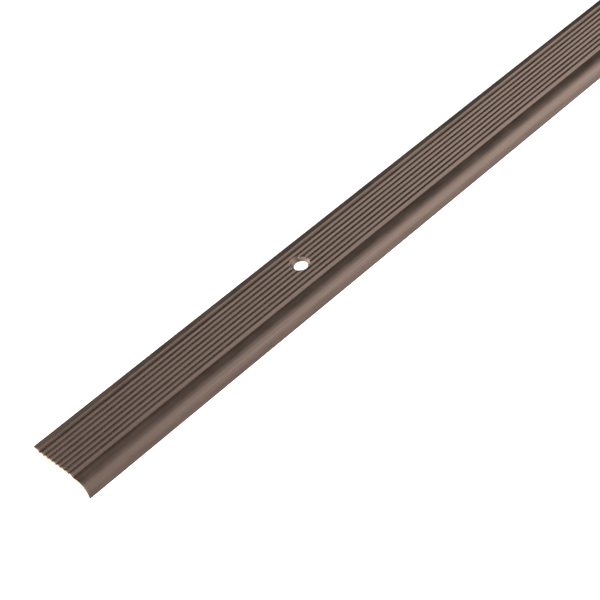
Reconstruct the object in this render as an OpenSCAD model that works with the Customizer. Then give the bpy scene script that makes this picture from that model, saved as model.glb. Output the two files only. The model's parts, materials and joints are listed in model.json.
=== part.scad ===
// Fluted stair edging: a thin metal strip, ribbed on top, whose rounded nose hooks over the front
// edge of a stair tread, with the countersunk wood screws that hold it down.
//
// X runs along the strip, Y points to the back of the tread, away from the nose, and Z points up.
// The origin is at mid-length, on the surface of the tread, in the middle of the flat land that
// lies on the tread just behind the nose.

/* [Strip] */
// Length of the strip
strip_l = 914.4; // [900:0.1:1200]
// Width in plan, from the back edge to the front of the nose
strip_w = 28.6; // [28.4:0.1:32]
// Thickness of the metal
sheet_t = 0.55; // [0.45:0.05:0.6]

/* [Ribs] */
// Number of ribs
rib_count = 8; // [8:1:8]
// Distance from one rib to the next
rib_pitch = 2.29; // [2.26:0.01:2.3]
// Height of a rib above the grooves beside it
rib_h = 0.78; // [0.7:0.01:0.9]
// Radius of a rib's rounded crest
crest_r = 0.62; // [0.58:0.01:0.7]
// Steepness of the ribs' sides where they face each other, from the horizontal
flank_a = 51; // [48:1:58]
// Steepness of the front rib's front side
front_a = 61.4; // [58:0.2:66]
// Steepness of the back band's front side
band_a = 70; // [60:1:75]
// Height of the grooves above the smooth band in front of the ribs
groove_rise = 0.5; // [0.4:0.01:0.6]
// Height of the plain band at the back above the ribs' crests
band_rise = 0.45; // [0.2:0.01:0.6]

/* [Nose] */
// From the middle of the front rib to where the nose begins to curve down
smooth_w = 2.97; // [2.6:0.01:3.2]
// Outer radius of the nose
nose_r = 5.03; // [4.8:0.01:5.5]
// Angle that the nose turns through
nose_a = 85; // [75:1:88]
// Straight lip below the curve of the nose
lip_l = 1.6; // [1.2:0.1:2.5]

/* [Screw holes] */
// Number of screw holes; every one but the first holds a screw
hole_count = 4; // [4:1:4]
// Radius of a hole
hole_r = 2.75; // [2.6:0.05:3]
// Height of the straight hole under its conical seat
land_h = 0.2; // [0.1:0.05:0.4]
// From each end of the strip to the middle of the nearest hole
hole_end = 123.3; // [60:0.1:150]
// Rib pitches from the middle of the front rib back to the line of holes
hole_pitches = 4.28; // [4:0.02:4.5]

/* [Screws] */
// Overall length of a screw
screw_l = 20; // [16:1:30]
// Radius of a screw's plain shank and of its thread's crest
shank_r = 2.1; // [2:0.05:2.2]
// Radius at the root of the thread
core_r = 1.45; // [1.3:0.05:1.5]
// Distance from one turn of the thread to the next
thread_pitch = 1.6; // [1.4:0.1:1.8]
// Plain shank under the head
plain_l = 3.6; // [3:0.1:4]

/* [Hidden] */
$fn = 64;

bronze = [0.34, 0.28, 0.25];
screw_bronze = [0.30, 0.25, 0.22];
eps = 0.01;

// heights of the top surface above the tread
groove_z = sheet_t + groove_rise;
crest_z = groove_z + rib_h;
band_z = crest_z + band_rise;

// plan positions, from the back of the nose to the back edge
cavity_r = crest_r - sheet_t;
cavity_foot = half_width(cavity_r, crest_z - crest_r, 0, front_a);
land_w = smooth_w - cavity_foot;
nose_y = -land_w / 2;
front_rib_y = nose_y + smooth_w;
back_rib_y = front_rib_y + (rib_count - 1) * rib_pitch;
nose_reach = (nose_r - sheet_t / 2) * sin(nose_a) + lip_l * cos(nose_a) + sheet_t / 2;
back_y = strip_w + nose_y - nose_reach;

// the plain band's front shoulder stands as far behind the last groove as a rib would
rib_foot = half_width(crest_r, crest_z - crest_r, groove_z, flank_a);
band_foot = half_width(crest_r, band_z - crest_r, groove_z, band_a);
shoulder_y = back_rib_y + rib_pitch - rib_foot + band_foot;

// the lip's face lies this far inside the curve of the nose, so that the two cross in one edge
lip_inset = 0.005;

// holes and screws
hole_y = front_rib_y + hole_pitches * rib_pitch;
hole_step = (strip_l - 2 * hole_end) / (hole_count - 1);
cup_offset = sheet_t * sqrt(2);
head_drop = 0.5;
head_z = crest_z - head_drop;
head_r = hole_r + head_z - land_h;
neck_z = head_z - (head_r - shank_r);
recess_r = 2.1;
recess_w = 0.85;
recess_depth = 1.9;
tip_l = 4;
tip_r = 0.15;
thread_z = neck_z - plain_l;
tip_z = head_z - screw_l;
thread_turns = floor((thread_z - tip_z - tip_r) / thread_pitch);

// middle of hole number n, counted from 1 at the -X end
function hole_x(n) = hole_end - strip_l / 2 + (n - 1) * hole_step;

// how far a ridge reaches at height z to the side whose flank, at angle a, is tangent to its crest circle
function half_width(r, circle_z, z, a) = r * sin(a) + (circle_z + r * cos(a) - z) / tan(a);

// radius of the screw's core at height z, tapering to the point
function core_at(z) = z > tip_z + tip_l ? core_r : tip_r + (core_r - tip_r) * (z - tip_z) / tip_l;

// radius of the thread's crest at height z, tapering sooner than the core
function crest_at(z) = min(shank_r, core_at(z) + (shank_r - core_r) * min(1, (z - tip_z) / tip_l + 0.3));

// solid ridge of crest radius r under height top, from height foot_z up, with flanks a0 in front and a1 behind
module ridge(top, r, foot_z, a0, a1) {
    circle_z = top - r;
    polygon([
        [-half_width(r, circle_z, foot_z, a0), foot_z],
        [half_width(r, circle_z, foot_z, a1), foot_z],
        [r * sin(a1), circle_z + r * cos(a1)],
        [-r * sin(a0), circle_z + r * cos(a0)],
    ]);
    translate([0, circle_z]) circle(r);
}

// ridge along the plain back band: the front half of a ridge, carried back level to y_end
module band_ridge(top, r, foot_z, y_end) {
    translate([shoulder_y, 0]) ridge(top, r, foot_z, band_a, 90);
    translate([shoulder_y, foot_z]) square([y_end - shoulder_y, top - foot_z]);
}

// everything under the ribbed top surface, down to the tread
module under_top() {
    for (i = [0 : rib_count - 1])
        translate([front_rib_y + i * rib_pitch, 0])
            ridge(crest_z, crest_r, sheet_t - eps, i == 0 ? front_a : flank_a, flank_a);
    band_ridge(band_z, crest_r, sheet_t - eps, back_y - sheet_t / 2);
    translate([front_rib_y, 0]) square([shoulder_y - front_rib_y, groove_z]);
    translate([nose_y, 0]) square([back_y - sheet_t / 2 - nose_y, sheet_t]);
}

// straight-sided space from the tread up to height top, inside flanks a0 in front and a1 behind
module space_under(top, circle_z, a0, a1) {
    polygon([
        [-half_width(cavity_r, circle_z, 0, a0), 0],
        [half_width(cavity_r, circle_z, 0, a1), 0],
        [half_width(cavity_r, circle_z, top, a1), top],
        [-half_width(cavity_r, circle_z, top, a0), top],
    ]);
}

// the hollow under the ribs and the back band, one sheet's thickness below the top surface
module hollow() {
    for (i = [0 : rib_count - 1])
        translate([front_rib_y + i * rib_pitch, 0])
            space_under(crest_z - sheet_t, crest_z - crest_r, i == 0 ? front_a : flank_a, flank_a);
    translate([front_rib_y, 0]) square([back_y - front_rib_y, groove_z - sheet_t]);
    translate([shoulder_y, 0]) space_under(band_z - sheet_t, band_z - crest_r, band_a, band_a);
    translate([shoulder_y, 0]) square([back_y - shoulder_y, band_z - sheet_t]);
}

// what lies under the nose's curve of radius r, a quarter disc, and behind its straight lip
module under_nose(r, length) {
    intersection() {
        circle(r);
        translate([-r, 0]) square(r);
    }
    rotate(nose_a) translate([-length, 0]) square([length, r - lip_inset]);
}

// rounded nose and its straight lip
module nose() {
    translate([nose_y, sheet_t - nose_r]) {
        difference() {
            under_nose(nose_r, lip_l);
            under_nose(nose_r - sheet_t, lip_l + 1);
        }
        rotate(nose_a)
            translate([-lip_l, nose_r - lip_inset - sheet_t / 2]) circle(sheet_t / 2);
    }
}

// cross-section of the strip, drawn with Y across the page and Z up it
module section() {
    difference() {
        under_top();
        hollow();
    }
    translate([back_y - sheet_t / 2, band_z - sheet_t / 2]) circle(sheet_t / 2);
    nose();
}

// extrudes a drawing of the cross-section along X
module along_x(length) {
    rotate([90, 0, 90]) linear_extrude(length, center = true) children();
}

// wall of the cup pressed round a hole; its outside is a cone parallel to the seat
module cup(n) {
    r0 = hole_r + cup_offset - land_h;
    intersection() {
        translate([hole_x(n), 0, 0]) along_x(6 * hole_r) under_top();
        translate([hole_x(n), hole_y, 0]) cylinder(h = band_z, r1 = r0, r2 = r0 + band_z);
    }
}

// countersunk hole: a straight punched hole that opens into a 90 degree conical seat
module countersink(n) {
    depth = band_z - land_h + 1;
    translate([hole_x(n), hole_y, -1]) cylinder(h = land_h + 1 + eps, r = hole_r);
    translate([hole_x(n), hole_y, land_h]) cylinder(h = depth, r1 = hole_r, r2 = hole_r + depth);
}

module edging_strip() {
    color(bronze) difference() {
        union() {
            along_x(strip_l) section();
            for (n = [1 : hole_count]) cup(n);
        }
        for (n = [1 : hole_count]) countersink(n);
    }
}

// outline of a screw from its head down to its point, as radius and height
module screw_outline() {
    thread = [
        for (i = [0 : thread_turns - 1])
            let (z = thread_z - i * thread_pitch)
            each [
                [core_at(z), z],
                [crest_at(z - 0.35 * thread_pitch), z - 0.35 * thread_pitch],
                [crest_at(z - 0.45 * thread_pitch), z - 0.45 * thread_pitch],
                [core_at(z - 0.8 * thread_pitch), z - 0.8 * thread_pitch],
            ]
    ];
    polygon(concat(
        [[0, head_z], [head_r, head_z], [shank_r, neck_z], [shank_r, thread_z + 0.4]],
        thread,
        [[tip_r, tip_z + tip_r], [0, tip_z]]
    ));
}

// cross recess, narrowing towards its bottom
module recess() {
    intersection() {
        for (a = [0, 90])
            rotate(a) translate([-recess_r, -recess_w / 2, head_z - recess_depth])
                cube([2 * recess_r, recess_w, recess_depth + 1]);
        translate([0, 0, head_z - recess_depth])
            cylinder(h = recess_depth + 1, r1 = recess_w / 2, r2 = recess_r + 1);
    }
}

// countersunk wood screw, seated in hole number n
module screw(n) {
    color(screw_bronze) translate([hole_x(n), hole_y, 0]) difference() {
        rotate_extrude() screw_outline();
        recess();
    }
}

module screw_2() { screw(2); }
module screw_3() { screw(3); }
module screw_4() { screw(4); }

edging_strip();
screw_2();
screw_3();
screw_4();
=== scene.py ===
"""Looks for the ribbed stair edging strip: matt dark bronze metal, detailed screws, a pale studio."""
import json
import math

import bmesh
import bpy
from mathutils import Matrix, Vector


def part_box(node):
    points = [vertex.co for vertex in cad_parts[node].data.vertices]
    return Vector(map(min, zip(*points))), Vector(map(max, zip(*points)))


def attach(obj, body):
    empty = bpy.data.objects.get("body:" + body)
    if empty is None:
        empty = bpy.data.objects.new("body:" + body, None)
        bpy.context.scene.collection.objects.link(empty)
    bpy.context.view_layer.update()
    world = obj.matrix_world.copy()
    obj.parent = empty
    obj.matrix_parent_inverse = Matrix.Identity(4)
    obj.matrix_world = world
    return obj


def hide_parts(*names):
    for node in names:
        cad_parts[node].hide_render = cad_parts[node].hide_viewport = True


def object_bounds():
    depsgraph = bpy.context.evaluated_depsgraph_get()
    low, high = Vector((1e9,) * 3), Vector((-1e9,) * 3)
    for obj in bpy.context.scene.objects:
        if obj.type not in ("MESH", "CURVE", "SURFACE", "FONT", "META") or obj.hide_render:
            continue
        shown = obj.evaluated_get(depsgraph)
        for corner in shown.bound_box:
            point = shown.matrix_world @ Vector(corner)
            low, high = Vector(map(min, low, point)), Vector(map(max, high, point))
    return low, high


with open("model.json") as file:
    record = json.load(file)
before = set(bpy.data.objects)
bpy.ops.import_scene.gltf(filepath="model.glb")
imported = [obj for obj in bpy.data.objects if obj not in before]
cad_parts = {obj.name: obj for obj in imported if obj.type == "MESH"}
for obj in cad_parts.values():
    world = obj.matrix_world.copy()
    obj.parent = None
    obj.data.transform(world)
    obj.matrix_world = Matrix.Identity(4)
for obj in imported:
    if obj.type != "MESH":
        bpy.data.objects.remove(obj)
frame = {"nodes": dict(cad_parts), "record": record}
cad_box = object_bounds()

MM = 0.001
STRIP = "edging_strip"
SCREWS = [name for name in sorted(frame["nodes"]) if name.startswith("screw_")]

# ---------------------------------------------------------------- places that follow from the frame
FLOOR_Z = cad_box[0][2]
END_X = cad_box[1][0]
FIRST_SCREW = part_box(SCREWS[0])
HEAD_TOP = FIRST_SCREW[1][2]
HEAD_R = (FIRST_SCREW[1][0] - FIRST_SCREW[0][0]) / 2
HEAD_DROP = 0.5 * MM               # the heads lie this far below the ribs' crests
CREST_Z = HEAD_TOP + HEAD_DROP
SEAT_R = HEAD_R + HEAD_DROP        # the conical seat's edge at the crests, on a 45 degree wall


def hole_centres():
    """Where the holes are: the open one, which its mount gives, and then one under each screw."""
    mounts = {mount["name"]: mount for mount in frame["record"]["mounts"]}
    places = [tuple(mounts["open_screw_hole"]["pos_m"][:2])]
    for name in SCREWS:
        low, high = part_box(name)
        places.append(((low[0] + high[0]) / 2, (low[1] + high[1]) / 2))
    return places


HOLES = hole_centres()

# ---------------------------------------------------------------- camera
# The view looks along the strip from beyond its -X end and from the nose's side.
AIM = Vector((-349.2, -3.42, 2.2)) * MM
HEADING = math.radians(53.136)     # from +X towards +Y
LOOK_DOWN = math.radians(41.572)
ROLL = math.radians(-12.7)
DISTANCE = 597.1 * MM
LENS = 97.224
SENSOR = 36.0
CLIP_NEAR = 0.01                   # metres
CLIP_FAR = 50


def add_camera():
    ahead = Vector((
        math.cos(LOOK_DOWN) * math.cos(HEADING),
        math.cos(LOOK_DOWN) * math.sin(HEADING),
        -math.sin(LOOK_DOWN),
    ))
    level = Vector((math.sin(HEADING), -math.cos(HEADING), 0))
    upright = level.cross(ahead)
    right = level * math.cos(ROLL) + upright * math.sin(ROLL)
    turn = Matrix((right, right.cross(ahead), -ahead)).transposed()
    data = bpy.data.cameras.new("camera")
    data.lens = LENS
    data.sensor_width = SENSOR
    data.clip_start = CLIP_NEAR
    data.clip_end = CLIP_FAR
    camera = bpy.data.objects.new("camera", data)
    camera.matrix_world = Matrix.Translation(AIM - ahead * DISTANCE) @ turn.to_4x4()
    bpy.context.scene.collection.objects.link(camera)
    bpy.context.scene.camera = camera


# ---------------------------------------------------------------- studio
# Each light stands at a distance from the point that it faces; sizes and distances are in metres.
KEY_FROM = (0.62, -0.66, 0.43)     # over the far end, low on the nose's side
KEY_DISTANCE = 1.2
KEY_SIZE = (0.7, 0.5)
KEY_WATTS = 40
KEY_TINT = (0.95, 1.0, 1.03)
FILL_AIM = Vector((-440, 10, 2)) * MM
FILL_FROM = (-0.20, 0.75, 0.63)    # over the near end, on the back band's side
FILL_DISTANCE = 0.5
FILL_SIZE = (0.3, 0.25)
FILL_WATTS = 2.1
WHITE = (1, 1, 1)
WORLD_GREY = 0.15
FLOOR_SIZE = 12
FLOOR_GREY = 0.9
FLOOR_ROUGHNESS = 0.9
FLOOR_GLOW = 1.0


def add_floor():
    bpy.ops.mesh.primitive_plane_add(size=FLOOR_SIZE, location=(0, 0, FLOOR_Z))
    floor = bpy.context.object
    floor.name = "floor"
    material = bpy.data.materials.new("pale_floor")
    material.use_nodes = True
    shader = material.node_tree.nodes["Principled BSDF"]
    shader.inputs["Base Color"].default_value = (FLOOR_GREY, FLOOR_GREY, FLOOR_GREY, 1)
    shader.inputs["Roughness"].default_value = FLOOR_ROUGHNESS
    shader.inputs["Emission Color"].default_value = (*WHITE, 1)
    shader.inputs["Emission Strength"].default_value = FLOOR_GLOW
    floor.data.materials.append(material)


def area_light(name, aim, direction, distance, size, watts, tint=WHITE):
    """A rectangular softbox whose long side runs as nearly along the strip as its aim allows."""
    data = bpy.data.lights.new(name, "AREA")
    data.shape = "RECTANGLE"
    data.size, data.size_y = size
    data.energy = watts
    data.color = tint
    light = bpy.data.objects.new(name, data)
    out = Vector(direction).normalized()
    along = (Vector((1, 0, 0)) - out * out.x).normalized()
    turn = Matrix((along, out.cross(along), out)).transposed()
    light.matrix_world = Matrix.Translation(aim + out * distance) @ turn.to_4x4()
    bpy.context.scene.collection.objects.link(light)


def add_studio():
    add_floor()
    area_light("key_softbox", AIM, KEY_FROM, KEY_DISTANCE, KEY_SIZE, KEY_WATTS, KEY_TINT)
    area_light("back_fill", FILL_AIM, FILL_FROM, FILL_DISTANCE, FILL_SIZE, FILL_WATTS)
    world = bpy.data.worlds.new("studio")
    world.use_nodes = True
    background = world.node_tree.nodes["Background"]
    background.inputs["Color"].default_value = (WORLD_GREY, WORLD_GREY, WORLD_GREY, 1)
    bpy.context.scene.world = world
    bpy.context.scene.view_settings.view_transform = "Standard"


# ---------------------------------------------------------------- node helpers
# a colour Mix node's sockets: its two colours and its result
COLOUR_A = 6
COLOUR_B = 7
COLOUR_OUT = 2


class Tree:
    """A material's node tree with short ways to add what the materials below share."""

    def __init__(self, name):
        self.material = bpy.data.materials.new(name)
        self.material.use_nodes = True
        self.nodes = self.material.node_tree.nodes
        self.links = self.material.node_tree.links
        self.shader = self.nodes["Principled BSDF"]
        self.place = self.nodes.new("ShaderNodeTexCoord").outputs["Object"]
        self.normal = self.nodes.new("ShaderNodeNewGeometry").outputs["Normal"]

    def feed(self, socket, value):
        """Links an output to the socket, or sets the socket to a number."""
        if isinstance(value, (int, float)):
            socket.default_value = value
        else:
            self.links.new(value, socket)

    def math(self, operation, first, second=0.0):
        node = self.nodes.new("ShaderNodeMath")
        node.operation = operation
        self.feed(node.inputs[0], first)
        self.feed(node.inputs[1], second)
        return node.outputs[0]

    def split(self, vector):
        node = self.nodes.new("ShaderNodeSeparateXYZ")
        self.links.new(vector, node.inputs[0])
        return node.outputs

    def noise(self, per_metre, detail, roughness=0.5):
        """Noise between 0 and 1; per_metre gives its scale along X, Y and Z."""
        mapping = self.nodes.new("ShaderNodeMapping")
        mapping.inputs["Scale"].default_value = per_metre
        self.links.new(self.place, mapping.inputs["Vector"])
        node = self.nodes.new("ShaderNodeTexNoise")
        node.inputs["Scale"].default_value = 1.0
        node.inputs["Detail"].default_value = detail
        node.inputs["Roughness"].default_value = roughness
        self.links.new(mapping.outputs["Vector"], node.inputs["Vector"])
        return node.outputs["Fac"]

    def ramp(self, value, low, high, out_low=0.0, out_high=1.0):
        """Maps low..high onto out_low..out_high in an S-curve and holds the ends."""
        node = self.nodes.new("ShaderNodeMapRange")
        node.interpolation_type = "SMOOTHSTEP"
        self.links.new(value, node.inputs["Value"])
        node.inputs["From Min"].default_value = low
        node.inputs["From Max"].default_value = high
        node.inputs["To Min"].default_value = out_low
        node.inputs["To Max"].default_value = out_high
        return node.outputs["Result"]

    def mix(self, share, first, second):
        """Goes from the first colour to the second as the share goes from 0 to 1."""
        node = self.nodes.new("ShaderNodeMix")
        node.data_type = "RGBA"
        self.links.new(share, node.inputs["Factor"])
        for socket, value in ((node.inputs[COLOUR_A], first), (node.inputs[COLOUR_B], second)):
            if isinstance(value, tuple):
                socket.default_value = (*value, 1)
            else:
                self.links.new(value, socket)
        return node.outputs[COLOUR_OUT]

    def bump(self, height, distance, strength, under=None):
        node = self.nodes.new("ShaderNodeBump")
        node.inputs["Distance"].default_value = distance
        node.inputs["Strength"].default_value = strength
        self.links.new(height, node.inputs["Height"])
        if under is not None:
            self.links.new(under, node.inputs["Normal"])
        return node.outputs["Normal"]

    def set(self, **sockets):
        for name, value in sockets.items():
            self.feed(self.shader.inputs[name.replace("_", " ")], value)


def hole_distance(tree, centres):
    """Distance in the XY plane from the nearest of the centres."""
    nearest = None
    place = tree.split(tree.place)
    for centre in centres:
        along = tree.math("SUBTRACT", place[0], centre[0])
        across = tree.math("SUBTRACT", place[1], centre[1])
        along_squared = tree.math("MULTIPLY", along, along)
        across_squared = tree.math("MULTIPLY", across, across)
        distance = tree.math("SQRT", tree.math("ADD", along_squared, across_squared))
        nearest = distance if nearest is None else tree.math("MINIMUM", nearest, distance)
    return nearest


def dress(piece, material):
    """Gives the piece one material in place of what it had."""
    piece.data.materials.clear()
    piece.data.materials.append(material)


# ---------------------------------------------------------------- the strip's metal
BRONZE = (0.100, 0.070, 0.057)
BRONZE_DARK = (0.070, 0.048, 0.038)
BRONZE_WORN = (0.20, 0.145, 0.115)
# painted highlight: the bright colour laid on one side of the open hole's seat in place of reflected
# light
SEAT_PAINTED_HIGHLIGHT = (0.46, 0.34, 0.27)
RAW_METAL = (0.95, 0.60, 0.26)
RAW_METAL_DULL = (0.82, 0.48, 0.20)
STRIP_ROUGHNESS = 0.68
ROUGHNESS_SPREAD = 0.05            # to either side, from the drawn lines and the mottling
WORN_POLISH = 0.12                 # how much smoother rubbed metal is
SAWN_POLISH = 0.2                  # how much smoother the sawn ends are

# noise scales per metre along X, Y and Z: drawn lines run along X
DRAWN_SCALE = (9, 2600, 2600)
DRAWN_FINE_SCALE = (30, 9000, 9000)
MOTTLE_SCALE = (90, 260, 260)
GRAIN_SCALE = (7000, 7000, 7000)
SAWN_SCALE = (100, 1500, 1500)
DRAWN_DEPTH = 0.02 * MM
GRAIN_DEPTH = 0.01 * MM

END_WEAR = 0.75                    # strength of the wear along each cut end
END_WEAR_REACH = 0.9 * MM
RIM_WEAR = 0.3                     # on the ribs where they break off at a seat
CREST_WEAR = 0.1                   # along the ribs' crests


def strip_wear(tree, mottle, hole_gap):
    """Share of rubbed metal: in patches along the cut ends and the crests, and round the seats."""
    place = tree.split(tree.place)
    patchy = tree.ramp(mottle, 0.35, 0.6)
    end_gap = tree.math("SUBTRACT", END_X, tree.math("ABSOLUTE", place[0]))
    end = tree.ramp(end_gap, 0.0, END_WEAR_REACH, END_WEAR, 0.0)
    seat = tree.ramp(hole_gap, SEAT_R - 0.25 * MM, SEAT_R + 0.05 * MM, 1.0, 0.0)
    rim = tree.ramp(place[2], CREST_Z - 0.45 * MM, CREST_Z - 0.05 * MM, 0.0, RIM_WEAR)
    crest = tree.ramp(place[2], CREST_Z - 0.25 * MM, CREST_Z, 0.0, CREST_WEAR)
    rubbed = tree.math("MAXIMUM", tree.math("MULTIPLY", end, patchy), tree.math("MULTIPLY", rim, seat))
    return tree.math("MAXIMUM", rubbed, tree.math("MULTIPLY", crest, patchy))


def seat_painted_highlight(tree, hole_gap):
    """Share of painted highlight on the slanting +X side of the open hole's seat, short of its edge: a
    bright colour that stands in for light reflected there.
    """
    seat = tree.ramp(hole_gap, SEAT_R - 0.7 * MM, SEAT_R - 0.3 * MM, 1.0, 0.0)
    open_x = tree.math("SUBTRACT", tree.split(tree.place)[0], HOLES[0][0])
    side = tree.ramp(open_x, 0.3 * SEAT_R, 0.65 * SEAT_R)
    slant = tree.ramp(tree.split(tree.normal)[2], 0.82, 0.95, 1.0, 0.0)
    return tree.math("MULTIPLY", tree.math("MULTIPLY", seat, side), slant)


def strip_metal():
    """Matt anodised bronze with faint drawn lines, rubbed spots, bare metal on the sawn ends and a
    painted highlight in the open hole's seat.
    """
    tree = Tree("bronze_anodised")
    drawn = tree.noise(DRAWN_SCALE, 3, 0.6)
    drawn_fine = tree.noise(DRAWN_FINE_SCALE, 2)
    mottle = tree.noise(MOTTLE_SCALE, 4, 0.6)
    hole_gap = hole_distance(tree, HOLES)
    rubbed = strip_wear(tree, mottle, hole_gap)
    cut = tree.ramp(tree.math("ABSOLUTE", tree.split(tree.normal)[0]), 0.9, 0.98)

    tone = tree.math("ADD", tree.math("MULTIPLY", drawn, 0.5), tree.math("MULTIPLY", mottle, 0.5))
    colour = tree.mix(tree.ramp(tone, 0.34, 0.66), BRONZE_DARK, BRONZE)
    colour = tree.mix(rubbed, colour, BRONZE_WORN)
    # painted highlight: a bright patch on one side of the open hole's seat that stands in for light
    # reflected there
    colour = tree.mix(seat_painted_highlight(tree, hole_gap), colour, SEAT_PAINTED_HIGHLIGHT)
    sawn = tree.mix(tree.ramp(tree.noise(SAWN_SCALE, 3), 0.3, 0.7), RAW_METAL_DULL, RAW_METAL)
    colour = tree.mix(cut, colour, sawn)

    uneven = tree.math("ADD", tree.math("MULTIPLY", drawn_fine, 0.4), tree.math("MULTIPLY", mottle, 0.6))
    smoothest = STRIP_ROUGHNESS - ROUGHNESS_SPREAD
    rough = tree.ramp(uneven, 0.3, 0.7, smoothest, STRIP_ROUGHNESS + ROUGHNESS_SPREAD)
    rough = tree.math("SUBTRACT", rough, tree.math("MULTIPLY", rubbed, WORN_POLISH))
    rough = tree.math("SUBTRACT", rough, tree.math("MULTIPLY", cut, SAWN_POLISH))

    relief = tree.bump(drawn, DRAWN_DEPTH, 0.35)
    relief = tree.bump(tree.noise(GRAIN_SCALE, 2), GRAIN_DEPTH, 0.3, relief)
    tree.set(Base_Color=colour, Metallic=1.0, Roughness=rough, Normal=relief)
    return tree.material


# ---------------------------------------------------------------- the screws' sizes
# In millimetres. They follow part.scad's sizes; the head's radius and the length come from the CAD box.
SHANK_R = 2.1
CORE_R = 1.45
TIP_R = 0.15
TIP_L = 4.0
THREAD_PITCH = 1.6
PLAIN_L = 3.6
RECESS_R = 2.1
RECESS_HALF = 0.42                 # half an arm's width
RECESS_DEPTH = 1.9
RECESS_CORNER = 0.16               # radius where two arms of the cross meet

# how far in the arms' ends and sides lie, and how deep, from the recess's rim to its floor
RECESS_STEPS = (
    (0.0, -0.06, 0.0),
    (0.06, 0.0, 0.06),
    (0.55, 0.04, 0.9),
    (1.2, 0.08, RECESS_DEPTH - 0.1),
    (1.35, 0.12, RECESS_DEPTH),
)

RIDGE_HALF = 0.36                  # half a thread's width at its foot, as a share of the pitch
RIDGE_SIDE = 0.28                  # width of each of its sides, as a share of the pitch
RIDGE_AT_TIP = 0.15                # its height at the point, as a share of its full height
TIP_FADE = 0.5                     # length over which it dies out at the point
TOP_FADE = 0.8                     # length over which it dies out at the top

SIDES = 48                         # round the shank
ROWS = 16                          # up the shank for each turn of the thread
ARM_STEPS = 6                      # along the arc at the end of a recess's arm
CORNER_STEPS = 4                   # round the corner between two arms
WELD = 0.002                       # vertices closer than this become one
SLIVER = 0.001                     # edges shorter than this are taken out
TIP_HOLE = 0.01                    # the opening left at the point lies within this height of it
SHARP = math.radians(34)           # edges that turn more than this stay sharp

# ---------------------------------------------------------------- the screws' coating
SCREW_BRONZE = (0.075, 0.055, 0.045)
SCREW_DARK = (0.045, 0.033, 0.027)
SCREW_STEEL = (0.40, 0.34, 0.29)
SCREW_METALLIC = 0.9
SCREW_SMOOTHEST = 0.42
SCREW_ROUGHEST = 0.56
SCREW_MOTTLE_SCALE = (500, 500, 500)
SCREW_GRAIN_SCALE = (8000, 8000, 8000)
SCREW_MOTTLE_DEPTH = 0.03 * MM
SCUFF = 0.7                        # how far a scuff wears through to the steel
THREAD_WEAR_TOP = HEAD_TOP - 6 * MM   # the shank has no scuffs above this


def screw_scuff(tree, mottle):
    """Share of bared steel, along the head's rim and the thread's crest."""
    radius = hole_distance(tree, HOLES[1:])
    z = tree.split(tree.place)[2]
    on_head = tree.ramp(z, HEAD_TOP - 0.5 * MM, HEAD_TOP - 0.1 * MM)
    rim = tree.math("MULTIPLY", on_head, tree.ramp(radius, HEAD_R - 0.45 * MM, HEAD_R - 0.1 * MM))
    below = tree.ramp(z, THREAD_WEAR_TOP - 1 * MM, THREAD_WEAR_TOP, 1.0, 0.0)
    crest = tree.math("MULTIPLY", below, tree.ramp(radius, (SHANK_R - 0.3) * MM, (SHANK_R - 0.1) * MM))
    patchy = tree.ramp(mottle, 0.3, 0.6, 0.0, SCUFF)
    return tree.math("MULTIPLY", tree.math("MAXIMUM", rim, crest), patchy)


def screw_coating():
    """Dark bronze coating on steel, worn thin in places."""
    tree = Tree("bronze_screw")
    mottle = tree.noise(SCREW_MOTTLE_SCALE, 4, 0.6)
    colour = tree.mix(tree.ramp(mottle, 0.35, 0.65), SCREW_DARK, SCREW_BRONZE)
    colour = tree.mix(screw_scuff(tree, mottle), colour, SCREW_STEEL)
    rough = tree.ramp(mottle, 0.3, 0.7, SCREW_SMOOTHEST, SCREW_ROUGHEST)
    relief = tree.bump(mottle, SCREW_MOTTLE_DEPTH, 0.3)
    relief = tree.bump(tree.noise(SCREW_GRAIN_SCALE, 2), GRAIN_DEPTH, 0.3, relief)
    tree.set(Base_Color=colour, Metallic=SCREW_METALLIC, Roughness=rough, Normal=relief)
    return tree.material


# ---------------------------------------------------------------- the screws' shapes
def clamp(value):
    return max(0.0, min(1.0, value))


def thread_radius(angle, z, tip, top):
    """The shank's radius: a tapered core and one ridge that winds up it and dies out at both ends."""
    core = CORE_R if z > tip + TIP_L else TIP_R + (CORE_R - TIP_R) * (z - tip) / TIP_L
    phase = (z / THREAD_PITCH - angle / math.tau) % 1.0
    ridge = clamp((RIDGE_HALF - abs(phase - 0.5)) / RIDGE_SIDE)
    start = min(1.0, (z - tip) / TIP_L + RIDGE_AT_TIP)
    height = min(SHANK_R - core, (SHANK_R - CORE_R) * start)
    return core + ridge * height * clamp(min((z - tip) / TIP_FADE, (top - z) / TOP_FADE))


def grid_corner(grid, row, side):
    """A vertex of the shank's grid; after a full turn, the first side stands one turn higher."""
    return grid[row][side] if side < SIDES else grid[row + ROWS][0]


def add_shank(bm, tip, top):
    """The threaded shank on rows that climb with the thread, so its crest runs along their edges."""
    count = int((top - tip) / THREAD_PITCH * ROWS) + 2 * ROWS
    grid = []
    for row in range(-ROWS, count):
        ring = []
        for side in range(SIDES):
            angle = math.tau * side / SIDES
            z = tip + THREAD_PITCH * (row / ROWS + side / SIDES)
            z = min(max(z, tip), top)
            r = thread_radius(angle, z, tip, top)
            ring.append(bm.verts.new((r * math.cos(angle), r * math.sin(angle), z)))
        grid.append(ring)
    for row in range(len(grid) - 1 - ROWS):
        for side in range(SIDES):
            around = ((row, side), (row, side + 1), (row + 1, side + 1), (row + 1, side))
            bm.faces.new([grid_corner(grid, *corner) for corner in around])
    weld_shank(bm)


def weld_shank(bm):
    """Joins what the clamped rows laid on top of each other at the point and at the top."""
    bmesh.ops.remove_doubles(bm, verts=bm.verts, dist=WELD)
    bmesh.ops.dissolve_degenerate(bm, edges=bm.edges, dist=SLIVER)
    loose = [vertex for vertex in bm.verts if not vertex.link_faces]
    bmesh.ops.delete(bm, geom=loose, context="VERTS")


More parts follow.
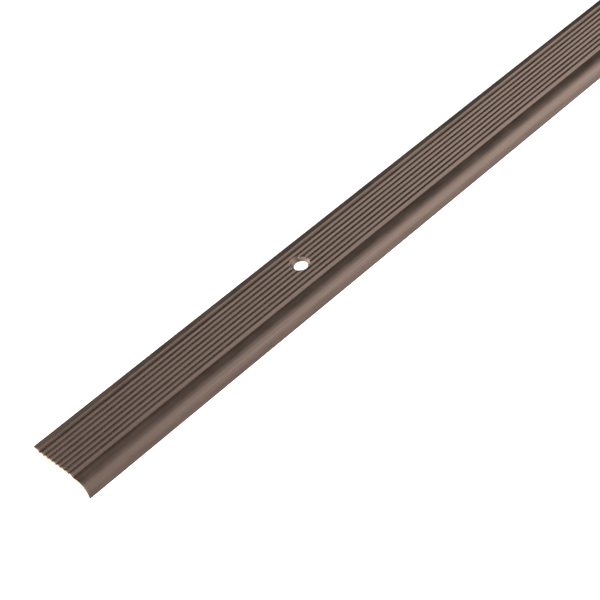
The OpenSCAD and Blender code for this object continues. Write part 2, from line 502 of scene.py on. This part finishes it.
def ring_of(bm, radius, z):
    angles = [math.tau * side / SIDES for side in range(SIDES)]
    return [bm.verts.new((radius * math.cos(angle), radius * math.sin(angle), z)) for angle in angles]


def join_rings(bm, lower, upper):
    count = len(lower)
    for i in range(count):
        j = (i + 1) % count
        bm.faces.new((lower[i], lower[j], upper[j], upper[i]))


def head_outline(head_r, neck, top):
    """Radius and height up the outside, from the top of the thread to the rim of the head."""
    thread_top = neck - PLAIN_L
    shoulder = ((CORE_R, thread_top), (SHANK_R - 0.1, thread_top + 0.35), (SHANK_R, thread_top + 0.5))
    fillet = ((SHANK_R, neck - 0.15), (SHANK_R + 0.06, neck), (SHANK_R + 0.25, neck + 0.2))
    chamfer = ((head_r - 0.22, top - 0.24), (head_r - 0.04, top - 0.1), (head_r, top - 0.05))
    rim = ((head_r - 0.02, top - 0.02), (head_r - 0.06, top))
    return shoulder + fillet + chamfer + rim


def turned(x, y, angle):
    """The point turned about the origin."""
    return (x * math.cos(angle) - y * math.sin(angle), x * math.sin(angle) + y * math.cos(angle))


def cross_outline(reach, half):
    """Points round a cross whose arms end in arcs and meet in rounded corners."""
    points = []
    spread = math.asin(half / reach)
    centre = half + RECESS_CORNER
    for arm in range(4):
        turn = arm * math.pi / 2
        for i in range(ARM_STEPS + 1):
            angle = turn - spread + 2 * spread * i / ARM_STEPS
            points.append((reach * math.cos(angle), reach * math.sin(angle)))
        for i in range(CORNER_STEPS + 1):
            angle = -math.pi / 2 - math.pi / 2 * i / CORNER_STEPS
            x = centre + RECESS_CORNER * math.cos(angle)
            y = centre + RECESS_CORNER * math.sin(angle)
            points.append(turned(x, y, turn))
    return points


def fill(bm, rings):
    """Flat face between closed rings of points."""
    edges = []
    for ring in rings:
        for first, second in zip(ring, ring[1:] + ring[:1]):
            edges.append(bm.edges.get((first, second)) or bm.edges.new((first, second)))
    bmesh.ops.triangle_fill(bm, use_beauty=True, use_dissolve=False, edges=edges)


def add_recess(bm, rim, top):
    """Cross recess with a broken edge and walls that lean in towards its bottom."""
    rings = []
    for end_in, side_in, depth in RECESS_STEPS:
        outline = cross_outline(RECESS_R - end_in, RECESS_HALF - side_in)
        rings.append([bm.verts.new((x, y, top - depth)) for x, y in outline])
    for upper, lower in zip(rings, rings[1:]):
        join_rings(bm, lower, upper)
    fill(bm, [rings[-1]])
    fill(bm, [rim, rings[0]])


def close_tip(bm, tip):
    """Fills the small opening left at the point."""
    open_ring = [e for e in bm.edges if len(e.link_faces) == 1 and e.verts[0].co.z < tip + TIP_HOLE]
    bmesh.ops.triangle_fill(bm, use_beauty=True, use_dissolve=False, edges=open_ring)


def shade(bm):
    """Smooth shading that keeps the sharp edges."""
    bmesh.ops.recalc_face_normals(bm, faces=bm.faces)
    for face in bm.faces:
        face.smooth = True
    for edge in bm.edges:
        if len(edge.link_faces) == 2 and edge.calc_face_angle() > SHARP:
            edge.smooth = False


def screw_mesh(name, low, high):
    """Countersunk wood screw standing in the box of its CAD node, whose corners are in millimetres."""
    head_r = (high[0] - low[0]) / 2
    tip, top = low[2], high[2]
    neck = top - (head_r - SHANK_R)
    bm = bmesh.new()
    add_shank(bm, tip, neck - PLAIN_L)
    rings = [ring_of(bm, radius, z) for radius, z in head_outline(head_r, neck, top)]
    for lower, upper in zip(rings, rings[1:]):
        join_rings(bm, lower, upper)
    add_recess(bm, rings[-1], top)
    bmesh.ops.remove_doubles(bm, verts=bm.verts, dist=WELD)
    close_tip(bm, tip)
    shade(bm)
    middle = Vector(((low[0] + high[0]) / 2, (low[1] + high[1]) / 2, 0))
    bmesh.ops.translate(bm, vec=middle, verts=bm.verts)
    bmesh.ops.scale(bm, vec=(MM, MM, MM), verts=bm.verts)
    mesh = bpy.data.meshes.new(name)
    bm.to_mesh(mesh)
    bm.free()
    return mesh


def add_screw(node, coating):
    low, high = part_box(node)
    mesh = screw_mesh(node + "_detail", [v / MM for v in low], [v / MM for v in high])
    piece = bpy.data.objects.new(node + "_detail", mesh)
    bpy.context.scene.collection.objects.link(piece)
    dress(piece, coating)
    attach(piece, "root")
    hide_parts(node)


# ---------------------------------------------------------------- the scene
add_camera()
add_studio()
dress(frame["nodes"][STRIP], strip_metal())
coating = screw_coating()
for name in SCREWS:
    add_screw(name, coating)
